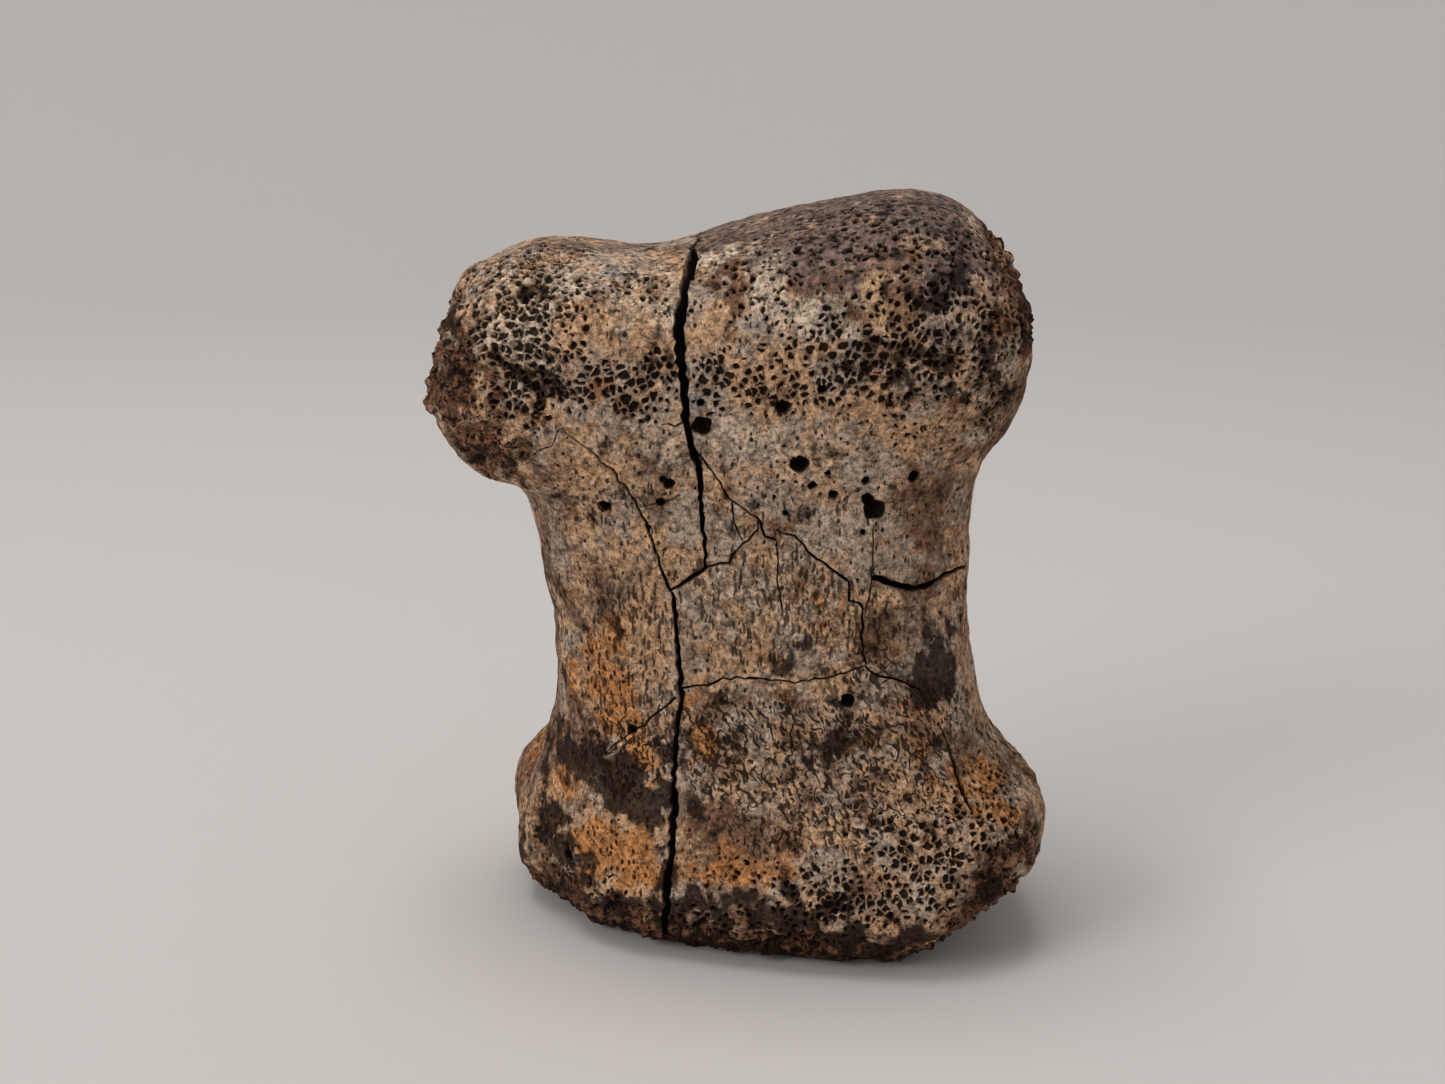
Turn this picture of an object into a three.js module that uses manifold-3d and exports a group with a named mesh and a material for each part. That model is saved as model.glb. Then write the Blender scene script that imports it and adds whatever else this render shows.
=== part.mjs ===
// A fossil hadrosaur toe bone: one solid of mineralised bone, standing on its proximal joint end.
// Millimetres, +Z up the bone, -Y towards the face with the long crack, +X to that face's right.
// The origin lies under the middle of the bone's bounding box, in the plane that it stands on.
import * as THREE from 'three';
import { mergeVertices } from 'three/addons/utils/BufferGeometryUtils.js';
import { ImprovedNoise } from 'three/addons/math/ImprovedNoise.js';
import Module from 'manifold-3d';

// Cross-sections from the widest line of the base up to the shoulder under the condyles.
// Each starts with its height. left and right are the side edges, middle is where it is deepest,
// front and back are its depths there, corner is how square it is,
// climb is its rise per millimetre to the right, and skew is how far it turns back to the left.
const MEASURES = ['left', 'right', 'middle', 'front', 'back', 'corner', 'climb', 'skew'];
const SECTIONS = [
  [12, -32.4, 40.6, 11, 24.6, 25.2, 2.7, 0.08, 0.17],
  [18, -31.6, 40.6, 9, 23.6, 24.0, 2.6, 0.07, 0.17],
  [23.5, -28.8, 36.6, 6, 21.4, 21.5, 2.5, 0.04, 0.15],
  [29, -26.8, 33.4, 5, 19.0, 18.0, 2.5, 0.01, 0.12],
  [36, -25.9, 31.4, 3, 17.4, 15.6, 2.6, 0, 0.08],
  [43, -26.1, 30.5, 3, 16.7, 14.8, 2.6, 0, 0.05],
  [51, -27.5, 30.2, 2, 16.5, 14.8, 2.6, 0, 0.03],
  [58, -28.7, 30.3, 1, 16.8, 15.6, 2.6, 0, 0.02],
  [62.5, -30.4, 30.8, 0, 17.2, 16.4, 2.6, 0.01, 0],
  [65.5, -35.6, 31.8, -1, 17.8, 17.2, 2.7, 0.02, 0],
  [70.5, -39.8, 35.2, -1, 18.8, 18.8, 2.9, 0.03, 0],
  [76.5, -42.2, 37.2, -1, 20.0, 20.4, 3.1, 0.05, 0],
  [82, -41.2, 37.6, -1, 20.8, 21.4, 3.2, 0.07, 0],
];

// The crest of the two condyles as it is seen from the front: x and height.
const CREST = [
  [-41.2, 79.2], [-40.2, 83.5], [-38.6, 87.2], [-36.0, 90.6], [-30.0, 93.6], [-24.5, 94.4], [-14.0, 93.7],
  [-7.3, 94.8], [2.0, 97.5], [13.2, 100.2], [20.5, 101.2], [25.8, 100.4], [30.2, 97.6], [33.8, 93.4],
  [36.3, 89.2], [37.6, 84.7],
];
const CONDYLE_ROUNDING = 2.4;

// The underside: a shallow joint hollow inside a rounded rim, levelled where it rests.
const HOLLOW_DEPTH = 5;
const HOLLOW_SHARE = 0.66;
const RIM_ROUNDING = 3;
const RIM_SINK = 2.2;
const RIGHT_RIM_LIFT = 11;

// Lumps and hollows: the middle of each, its reach, and how far it stands out.
const RELIEF = [
  { at: [-29, 13, 15], reach: 11, rise: 2.2 },
  { at: [26, 20, 16], reach: 13, rise: 2.4 },
  { at: [2, 27, 20], reach: 14, rise: -2.6 },
  { at: [-9, -21, 84], reach: 13, rise: -1.6 },
  { at: [-9, 22, 84], reach: 15, rise: -3.4 },
  { at: [-42, 4, 83], reach: 10, rise: -3.4 },
  { at: [38, 5, 84], reach: 11, rise: -3.8 },
  { at: [-3, 16, 62], reach: 14, rise: -1.8 },
  { at: [-29, -20, 77], reach: 10, rise: -1.3 },
  { at: [-20, -18, 88], reach: 10, rise: 0.7 },
  { at: [20, -22, 84], reach: 14, rise: 1.0 },
];

// Broken edges, where the outer skin of the bone is gone: the middle of each, its reach and its roughness.
const BROKEN = [
  { at: [-40, -6, 78], reach: 18, rough: 1.5 },
  { at: [37, -2, 86], reach: 15, rough: 1.2 },
  { at: [38, -8, 12], reach: 16, rough: 0.9 },
  { at: [-20, -18, 4], reach: 16, rough: 0.8 },
  { at: [4, -24, 4], reach: 16, rough: 0.6 },
];

// Cracks of the front face. Each point is x, height and the width of the gap there.
const CRACKS = [
  {
    deep: 4.5,
    path: [
      [-6.8, 97, 1.0], [-7.2, 93.6, 1.2], [-7.9, 90.2, 1.7], [-8.5, 87.4, 1.8], [-8.2, 83.8, 1.5],
      [-7.9, 79.6, 1.3], [-7.6, 75.3, 1.2], [-7.2, 71.1, 1.0], [-5.9, 68.5, 0.9], [-5.9, 63.4, 0.8],
      [-5.4, 58.8, 0.7], [-5.3, 54.0, 0.5],
    ],
  },
  {
    deep: 3.5,
    path: [
      [-9.8, 51.6, 0.5], [-9.1, 46.1, 0.8], [-8.7, 40.7, 0.9], [-8.6, 35.6, 0.9], [-9.2, 31.5, 0.9],
      [-9.4, 27.6, 1.0], [-9.4, 23.7, 1.3], [-9.7, 19.4, 1.3], [-10.0, 14.7, 1.2], [-10.6, 9.2, 1.2],
      [-10.9, 4.4, 1.0], [-11, 2, 0.8],
    ],
  },
  {
    deep: 2.5,
    path: [
      [-10.4, 50.6, 0.5], [-6.6, 53.3, 0.7], [-5.3, 54.5, 0.7], [-2.5, 55.1, 0.6], [1.4, 59.5, 0.4],
    ],
  },
  {
    deep: 1.8,
    path: [
      [-23.6, 73.2, 0.4], [-20.9, 71.2, 0.5], [-17.8, 68.5, 0.5], [-15.2, 65.3, 0.5], [-12.6, 59.8, 0.5],
      [-11.5, 55.7, 0.5], [-9.8, 51.4, 0.5],
    ],
  },
  {
    deep: 1.8,
    path: [
      [-6.4, 69.8, 0.4], [-2.3, 64.3, 0.4], [1.6, 60.6, 0.5], [6.2, 58.8, 0.5], [8.6, 56.2, 0.5],
      [13.3, 52.7, 0.5], [13.5, 50.2, 0.5], [15.3, 48.6, 0.5], [15.2, 44.5, 0.5], [15.9, 40.8, 0.4],
    ],
  },
  {
    deep: 2.8,
    path: [
      [16.2, 53.3, 0.6], [18.5, 52.3, 0.8], [21.9, 51.1, 1.0], [25.0, 51.3, 1.0], [29.4, 52.3, 0.8],
    ],
  },
  {
    deep: 1.8,
    path: [
      [-8.8, 37.7, 0.6], [-4.1, 38.6, 0.5], [1.7, 39.5, 0.4], [6.6, 39.1, 0.5], [10.4, 39.7, 0.5],
      [15.7, 41.2, 0.4], [20.0, 39.1, 0.4], [23.1, 37.5, 0.4],
    ],
  },
  {
    deep: 1.8,
    path: [
      [26.6, 31.3, 0.4], [28.0, 27.7, 0.6], [28.9, 24.1, 0.8], [29.9, 22.4, 0.6],
    ],
  },
];

// Nutrient openings and deep pores that show from a step away: x, height and radius on the front face.
const PITS = [
  [16.5, 62.1, 1.4], [6.8, 68.7, 1.3], [4.6, 76.3, 1.1], [-5.4, 73.8, 1.3],
  [-18.3, 62.5, 0.8], [11.1, 64.4, 0.8], [21.5, 66.4, 0.9], [13.4, 36.7, 1.1],
  [-15.1, 31.3, 0.8], [-24.2, 12.2, 1.0], [22.4, 98.4, 1.0],
];
const PIT_DEPTH = 2.4;

// The shape is drawn about its shaft, and then set with the middle of its bounding box over the origin.
const SHIFT_X = 0.745;
const SHIFT_Y = -0.9;

const AROUND_X = 24;
const AROUND_Y = 16;
const UPWARD = 32;

const sectionCurve = new THREE.CubicInterpolant(
  SECTIONS.map((section) => section[0]),
  SECTIONS.flatMap((section) => section.slice(1)),
  MEASURES.length,
);
const crestCurve = new THREE.CubicInterpolant(
  CREST.map((point) => point[0]),
  CREST.map((point) => point[1]),
  1,
);

function sectionAt(height) {
  const values = sectionCurve.evaluate(height);
  return Object.fromEntries(MEASURES.map((name, index) => [name, values[index]]));
}

// The outline of a section in the direction of a point of the square from -1 to 1.
function outlinePoint(section, u, v) {
  const across = Math.tan(u * Math.PI / 4);
  const along = Math.tan(v * Math.PI / 4);
  const power = section.corner;
  const scale = (Math.abs(across) ** power + Math.abs(along) ** power) ** (-1 / power);
  const width = across < 0 ? section.middle - section.left : section.right - section.middle;
  const depth = along < 0 ? section.front : section.back;
  return new THREE.Vector2(across * scale * width, along * scale * depth);
}

// How far a point lies from the axis plane towards the outline, front to back.
function depthShare(section, x, y) {
  const width = x < 0 ? section.middle - section.left : section.right - section.middle;
  const depth = y < 0 ? section.front : section.back;
  const chord = Math.max(0, 1 - Math.abs(x / width) ** section.corner) ** (1 / section.corner) * depth;
  return chord > 1e-6 ? Math.min(1, Math.abs(y) / chord) : 1;
}

function placeOnSide(point) {
  const bottom = SECTIONS[0][0];
  const top = SECTIONS.at(-1)[0];
  const height = THREE.MathUtils.mapLinear(point.z, -1, 1, bottom, top);
  const section = sectionAt(height);
  const outline = outlinePoint(section, point.x, point.y);
  const turn = section.skew * outline.x;
  const rise = section.climb * outline.x;
  point.set(section.middle + outline.x, outline.y - turn, height + rise);
}

function placeOnCap(point, isTop) {
  const height = isTop ? SECTIONS.at(-1)[0] : SECTIONS[0][0];
  const section = sectionAt(height);
  const share = Math.max(Math.abs(point.x), Math.abs(point.y));
  const rounding = isTop ? CONDYLE_ROUNDING : RIM_ROUNDING;
  const outline = share > 0
    ? outlinePoint(section, point.x / share, point.y / share)
    : new THREE.Vector2();
  const inward = Math.sin(share * Math.PI / 2) ** (2 / rounding);
  outline.multiplyScalar(inward);
  const shoulder = height + section.climb * outline.x;
  const towardsEdge = isTop ? depthShare(section, outline.x, outline.y) : inward;
  const swell = Math.max(0, 1 - towardsEdge ** rounding) ** (1 / rounding);
  const x = section.middle + outline.x;
  const end = isTop ? crestCurve.evaluate(x)[0] : undersideLevel(towardsEdge, x);
  point.set(x, outline.y - section.skew * outline.x, shoulder + (end - shoulder) * swell);
}

// Height of the underside: hollow in the middle, a little under the resting plane around it,
// and raised to the right.
function undersideLevel(share, x) {
  const hollow = HOLLOW_DEPTH * (1 - THREE.MathUtils.smoothstep(share, 0, HOLLOW_SHARE));
  const lift = RIGHT_RIM_LIFT * THREE.MathUtils.smoothstep(x, 18, 41);
  return hollow + lift - RIM_SINK;
}

function shapeBone() {
  const block = new THREE.BoxGeometry(2, 2, 2, AROUND_X, AROUND_Y, UPWARD);
  block.deleteAttribute('normal');
  block.deleteAttribute('uv');
  const bone = mergeVertices(block);
  const positions = bone.attributes.position;
  const point = new THREE.Vector3();
  for (let index = 0; index < positions.count; index += 1) {
    point.fromBufferAttribute(positions, index);
    if (Math.abs(point.z) < 1 - 1e-6) {
      placeOnSide(point);
    } else {
      placeOnCap(point, point.z > 0);
    }
    positions.setXYZ(index, point.x, point.y, point.z);
  }
  return bone;
}

// Raises the lumps, sinks the hollows and makes the whole surface uneven, then levels the resting face.
function addRelief(bone) {
  bone.computeVertexNormals();
  const noise = new ImprovedNoise();
  const positions = bone.attributes.position;
  const normals = bone.attributes.normal;
  const point = new THREE.Vector3();
  const normal = new THREE.Vector3();
  const centre = new THREE.Vector3();
  for (let index = 0; index < positions.count; index += 1) {
    point.fromBufferAttribute(positions, index);
    normal.fromBufferAttribute(normals, index);
    let rise = 0;
    for (const lump of RELIEF) {
      const near = point.distanceTo(centre.fromArray(lump.at)) / lump.reach;
      rise += lump.rise * (1 - THREE.MathUtils.smoothstep(near, 0, 1));
    }
    for (const edge of BROKEN) {
      const near = point.distanceTo(centre.fromArray(edge.at)) / edge.reach;
      const rough = edge.rough * (1 - THREE.MathUtils.smoothstep(near, 0.5, 1));
      rise += rough * noise.noise(point.x / 3.1, point.y / 3.1, point.z / 3.1);
    }
    rise += 0.8 * noise.noise(point.x / 11, point.y / 11, point.z / 11);
    point.addScaledVector(normal, rise);
    positions.setXYZ(index, point.x, point.y, Math.max(0, point.z));
  }
  bone.deleteAttribute('normal');
  return bone;
}

const wasm = await Module();
wasm.setup();

function solidOf(geometry) {
  return new wasm.Manifold(new wasm.Mesh({
    numProp: 3,
    vertProperties: new Float32Array(geometry.attributes.position.array),
    triVerts: new Uint32Array(geometry.index.array),
  }));
}

function geometryOf(solid) {
  const mesh = solid.getMesh();
  const geometry = new THREE.BufferGeometry();
  geometry.setAttribute('position', new THREE.BufferAttribute(mesh.vertProperties, 3));
  geometry.setIndex(new THREE.BufferAttribute(mesh.triVerts, 1));
  return geometry;
}

const bone = addRelief(shapeBone());

// The first point of the surface behind x and height on the front face, with the way it faces.
const probe = new THREE.Raycaster();
const probed = new THREE.Mesh(bone, new THREE.MeshBasicMaterial());
function frontAt(x, height) {
  probe.set(new THREE.Vector3(x, -200, height), new THREE.Vector3(0, 1, 0));
  const hit = probe.intersectObject(probed)[0];
  return hit ? { point: hit.point, facing: hit.face.normal } : { point: new THREE.Vector3(x, 0, height) };
}

// A blade that follows a crack: a row of blocks, wide outside the bone and narrow at the crack's floor.
function crackBlade({ path, deep }) {
  const blade = new THREE.BoxGeometry(1, 1, 1, path.length - 1, 1, 1);
  blade.deleteAttribute('normal');
  blade.deleteAttribute('uv');
  const merged = mergeVertices(blade);
  const positions = merged.attributes.position;
  const mouths = path.map(([x, height]) => frontAt(x, height).point.y);
  for (let index = 0; index < positions.count; index += 1) {
    const step = Math.round((positions.getX(index) + 0.5) * (path.length - 1));
    const before = path[Math.max(0, step - 1)];
    const after = path[Math.min(path.length - 1, step + 1)];
    const way = new THREE.Vector2(after[0] - before[0], after[1] - before[1]).normalize();
    const outside = positions.getZ(index) > 0;
    const reach = positions.getY(index) * path[step][2] * (outside ? 1.6 : 0.4);
    const level = mouths[step] + (outside ? -3 : deep);
    positions.setXYZ(index, path[step][0] - way.y * reach, level, path[step][1] + way.x * reach);
  }
  return solidOf(merged);
}

function pitCutter([x, height, radius]) {
  const { point, facing } = frontAt(x, height);
  const cutter = new THREE.CylinderGeometry(radius * 1.15, radius * 0.5, 2 * PIT_DEPTH, 8);
  cutter.deleteAttribute('normal');
  cutter.deleteAttribute('uv');
  cutter.applyQuaternion(new THREE.Quaternion().setFromUnitVectors(new THREE.Vector3(0, 1, 0), facing));
  cutter.translate(point.x, point.y, point.z);
  return solidOf(mergeVertices(cutter));
}

const cutters = [...CRACKS.map(crackBlade), ...PITS.map(pitCutter)];
const hollows = cutters.reduce((joined, cutter) => joined.add(cutter));
const cracked = solidOf(bone).subtract(hollows);

const fossil = new THREE.MeshStandardMaterial({ color: 0x8a7257, roughness: 0.85, metalness: 0 });
const toeBone = new THREE.Mesh(geometryOf(cracked), fossil);
toeBone.name = 'toe_bone';
toeBone.position.set(SHIFT_X, SHIFT_Y, 0);

const model = new THREE.Group();
model.add(toeBone);
export default model;
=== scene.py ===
"""A fossil hadrosaur toe bone standing on its proximal joint end, in metres, +Z up the bone."""
import math

import bpy
import numpy as np
from mathutils import Matrix, Vector, noise
from mathutils.bvhtree import BVHTree
from mathutils.interpolate import poly_3d_calc


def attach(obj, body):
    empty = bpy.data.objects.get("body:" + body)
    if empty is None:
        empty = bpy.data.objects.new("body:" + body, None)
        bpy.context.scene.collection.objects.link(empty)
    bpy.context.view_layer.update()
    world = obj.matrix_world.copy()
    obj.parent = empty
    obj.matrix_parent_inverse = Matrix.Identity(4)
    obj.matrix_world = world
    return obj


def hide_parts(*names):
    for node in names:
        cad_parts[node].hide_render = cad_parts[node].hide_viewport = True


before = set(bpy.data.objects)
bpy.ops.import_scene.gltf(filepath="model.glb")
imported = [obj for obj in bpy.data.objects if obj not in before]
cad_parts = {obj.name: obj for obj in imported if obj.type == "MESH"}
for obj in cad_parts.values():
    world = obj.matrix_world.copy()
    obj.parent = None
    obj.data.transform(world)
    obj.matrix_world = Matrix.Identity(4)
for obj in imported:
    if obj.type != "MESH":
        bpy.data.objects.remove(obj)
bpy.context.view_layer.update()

bpy.ops.object.select_all(action="DESELECT")

# Camera
# A normal lens held close to the bone and a little above it, so that the top is nearly edge on.
LENS_MM = 50
CAMERA_DISTANCE = 0.276
CAMERA_PITCH = math.radians(15)
CAMERA_TARGET = Vector((-0.0023, -0.0009, 0.0535))

ahead = Vector((0, math.cos(CAMERA_PITCH), -math.sin(CAMERA_PITCH)))
bpy.ops.object.camera_add(location=CAMERA_TARGET - ahead * CAMERA_DISTANCE)
camera = bpy.context.object
camera.name = "camera"
camera.rotation_euler = ahead.to_track_quat("-Z", "Y").to_euler()
camera.data.lens = LENS_MM
camera.data.sensor_width = 36
camera.data.clip_start = 0.01
bpy.context.scene.camera = camera

# The bone
# One piece of mineralised bone. A cube of fine squares is drawn out through the cross-sections of the bone,
# its broken skin and open pores are sunk in, and then the cracks and vessel holes are cut.
# Each section: height, left and right edge, deepest x, front depth, back depth, squareness, climb and skew.
SECTIONS = np.array([
    (12.0, -32.4, 40.6, 11, 24.6, 25.2, 2.7, 0.08, 0.17),
    (18.0, -31.6, 40.6, 9, 23.6, 24.0, 2.6, 0.07, 0.17),
    (23.5, -28.8, 36.6, 6, 21.4, 21.5, 2.5, 0.04, 0.15),
    (29.0, -26.8, 33.4, 5, 19.0, 18.0, 2.5, 0.01, 0.12),
    (36.0, -25.9, 31.4, 3, 17.4, 15.6, 2.6, 0, 0.08),
    (43.0, -26.1, 30.5, 3, 16.7, 14.8, 2.6, 0, 0.05),
    (51.0, -27.5, 30.2, 2, 16.5, 14.8, 2.6, 0, 0.03),
    (58.0, -28.7, 30.3, 1, 16.8, 15.6, 2.6, 0, 0.02),
    (62.5, -30.4, 30.8, 0, 17.2, 16.4, 2.6, 0.01, 0),
    (65.5, -35.6, 31.8, -1, 17.8, 17.2, 2.7, 0.02, 0),
    (70.5, -39.8, 35.2, -1, 18.8, 18.8, 2.9, 0.03, 0),
    (76.5, -42.2, 37.2, -1, 20.0, 20.4, 3.1, 0.05, 0),
    (82.0, -41.2, 37.6, -1, 20.8, 21.4, 3.2, 0.07, 0),
])
# The crest of the two condyles: x and height.
CREST = np.array([
    (-41.2, 79.2), (-40.2, 83.5), (-38.6, 87.2), (-36.0, 90.6), (-30.0, 93.6), (-24.5, 94.4), (-14.0, 93.7),
    (-7.3, 94.8), (2.0, 97.5), (13.2, 100.2), (20.5, 101.2), (25.8, 100.4), (30.2, 97.6), (33.8, 93.4),
    (36.3, 89.2), (37.6, 84.7),
])
# How full the two ends are: 2 is round, and more is squarer.
CONDYLE_ROUNDING, RIM_ROUNDING = 2.4, 3
# The bone is drawn about its shaft, and then moved to stand over the middle of its base, in mm.
TO_ORIGIN = Vector((0.745, -0.9, 0))
# The hollow underside: its depth, how far it reaches towards the rim, and how far the rim sinks below the
# floor, to be levelled later. The right end of the rim lifts off the floor between these two x. All in mm.
HOLLOW_DEPTH, HOLLOW_SHARE, RIM_SINK = 5, 0.66, 2.2
RIGHT_RIM_LIFT, LIFT_START, LIFT_END = 11, 18, 41
# Lumps and hollows: middle, reach and rise, in mm.
RELIEF = (
    ((-29, 13, 15), 11, 2.2), ((26, 20, 16), 13, 2.4), ((2, 27, 20), 14, -2.6), ((-9, -21, 84), 13, -1.6),
    ((-9, 22, 84), 15, -3.4), ((-42, 4, 83), 10, -3.4), ((38, 5, 84), 11, -3.8), ((-3, 16, 62), 14, -1.8),
    ((-29, -20, 77), 10, -1.3), ((-20, -18, 88), 10, 0.7), ((20, -22, 84), 14, 1.0),
    ((-33, -8, 68.5), 5, 1.5), ((-33, 6, 69), 6, 1.2), ((-29, -8, 63.5), 6, -1.3), ((-29, 6, 64), 6, -1.0),
    ((-29, -18, 80), 3, -1.2), ((-25, -19, 78.5), 4, -1.2), ((35, -6, 95), 5, 1.2), ((39, -2, 84), 6, 0.8),
    ((-31, -10, 5), 12, -3.2), ((37, -12, 7), 10, -2.0), ((-35, -4, 91), 5, 0.9),
)


def smooth_step(low, high, value):
    share = np.clip((value - low) / (high - low), 0, 1)
    return share * share * (3 - 2 * share)


def smooth_curve(knots, values, at):
    """A smooth curve through values at knots; values may hold several columns."""
    at = np.clip(at, knots[0], knots[-1])
    i = np.clip(np.searchsorted(knots, at, side="right") - 1, 0, len(knots) - 2)
    before = np.where(i > 0, i - 1, i + 1)
    after = np.where(i < len(knots) - 2, i + 2, i)
    half = (knots[i + 1] - knots[i]) / 2
    a = half / (knots[i] - knots[before])
    b = half / (knots[after] - knots[i + 1])
    p = (at - knots[i]) / (2 * half)
    weights = (
        -a * p**3 + 2 * a * p**2 - a * p,
        (1 + a) * p**3 - (1.5 + 2 * a) * p**2 + (a - 0.5) * p + 1,
        (-1 - b) * p**3 + (1.5 + b) * p**2 + 0.5 * p,
        b * p**3 - b * p**2,
    )
    return sum(w * values[k].T for w, k in zip(weights, (before, i, i + 1, after))).T


def bone_surface(block):
    """Points of the bone, in mm, for points of the cube from -1 to 1."""
    u, v, w = block.T
    cap = np.abs(w) > 1 - 1e-6
    top = w > 0
    share = np.where(cap, np.maximum(np.abs(u), np.abs(v)), 1)
    safe = np.maximum(share, 1e-9)
    height = np.interp(w, (-1, 1), (SECTIONS[0, 0], SECTIONS[-1, 0]))
    here = smooth_curve(SECTIONS[:, 0], SECTIONS[:, 1:], height)
    left, right, middle, front, back, corner, climb, skew = here.T
    across, along = np.tan(u / safe * math.pi / 4), np.tan(v / safe * math.pi / 4)
    scale = (np.abs(across) ** corner + np.abs(along) ** corner) ** (-1 / corner)
    width = np.where(across < 0, middle - left, right - middle)
    depth = np.where(along < 0, front, back)
    rounding = np.where(top, CONDYLE_ROUNDING, RIM_ROUNDING)
    inward = np.where(cap, np.sin(share * math.pi / 2) ** (2 / rounding), 1)
    x, y = across * scale * width * inward, along * scale * depth * inward
    chord = np.maximum(0, 1 - np.abs(x / width) ** corner) ** (1 / corner) * depth
    edge = np.where(top, np.minimum(1, np.abs(y) / np.maximum(chord, 1e-6)), inward)
    swell = np.where(cap, np.maximum(0, 1 - edge**rounding) ** (1 / rounding), 0)
    crest = smooth_curve(CREST[:, 0], CREST[:, 1], middle + x)
    underside = HOLLOW_DEPTH * (1 - smooth_step(0, HOLLOW_SHARE, inward)) - RIM_SINK
    underside += RIGHT_RIM_LIFT * smooth_step(LIFT_START, LIFT_END, middle + x)
    shoulder = height + climb * x
    end = np.where(top, crest, underside)
    return np.stack((middle + x, y - skew * x, shoulder + (end - shoulder) * swell), axis=1)


def read(mesh, name):
    """A mesh attribute of vectors as an array."""
    values = np.empty(len(mesh.attributes[name].data) * 3, np.float32)
    mesh.attributes[name].data.foreach_get("vector", values)
    return values.reshape(-1, 3)


def write(mesh, name, values):
    """Stores an array as a mesh attribute, one number or one vector for each point."""
    kind, key = ("FLOAT", "value") if values.ndim == 1 else ("FLOAT_VECTOR", "vector")
    made = mesh.attributes.get(name) or mesh.attributes.new(name, kind, "POINT")
    made.data.foreach_set(key, values.astype(np.float32).ravel())


bpy.ops.mesh.primitive_cube_add(size=2)
bone = bpy.context.object
bone.name = bone.data.name = "fossil_toe_bone"
bpy.ops.object.mode_set(mode="EDIT")
bpy.ops.mesh.subdivide(number_cuts=2)
bpy.ops.object.mode_set(mode="OBJECT")
fine = bone.modifiers.new("fine_squares", "SUBSURF")
fine.subdivision_type = "SIMPLE"
fine.levels = fine.render_levels = 6
bpy.ops.object.modifier_apply(modifier=fine.name)

mesh = bone.data
write(mesh, "block", read(mesh, "position"))
points = bone_surface(read(mesh, "block").astype(float))
write(mesh, "position", points)
mesh.update()
normals = np.empty(len(points) * 3, np.float32)
mesh.vertex_normals.foreach_get("vector", normals)
rise = sum(
    height * (1 - smooth_step(0, 1, np.linalg.norm(points - middle, axis=1) / reach))
    for middle, reach, height in RELIEF
)
points += rise[:, None] * normals.reshape(-1, 3)
write(mesh, "position", points / 1000)
mesh.update()

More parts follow.
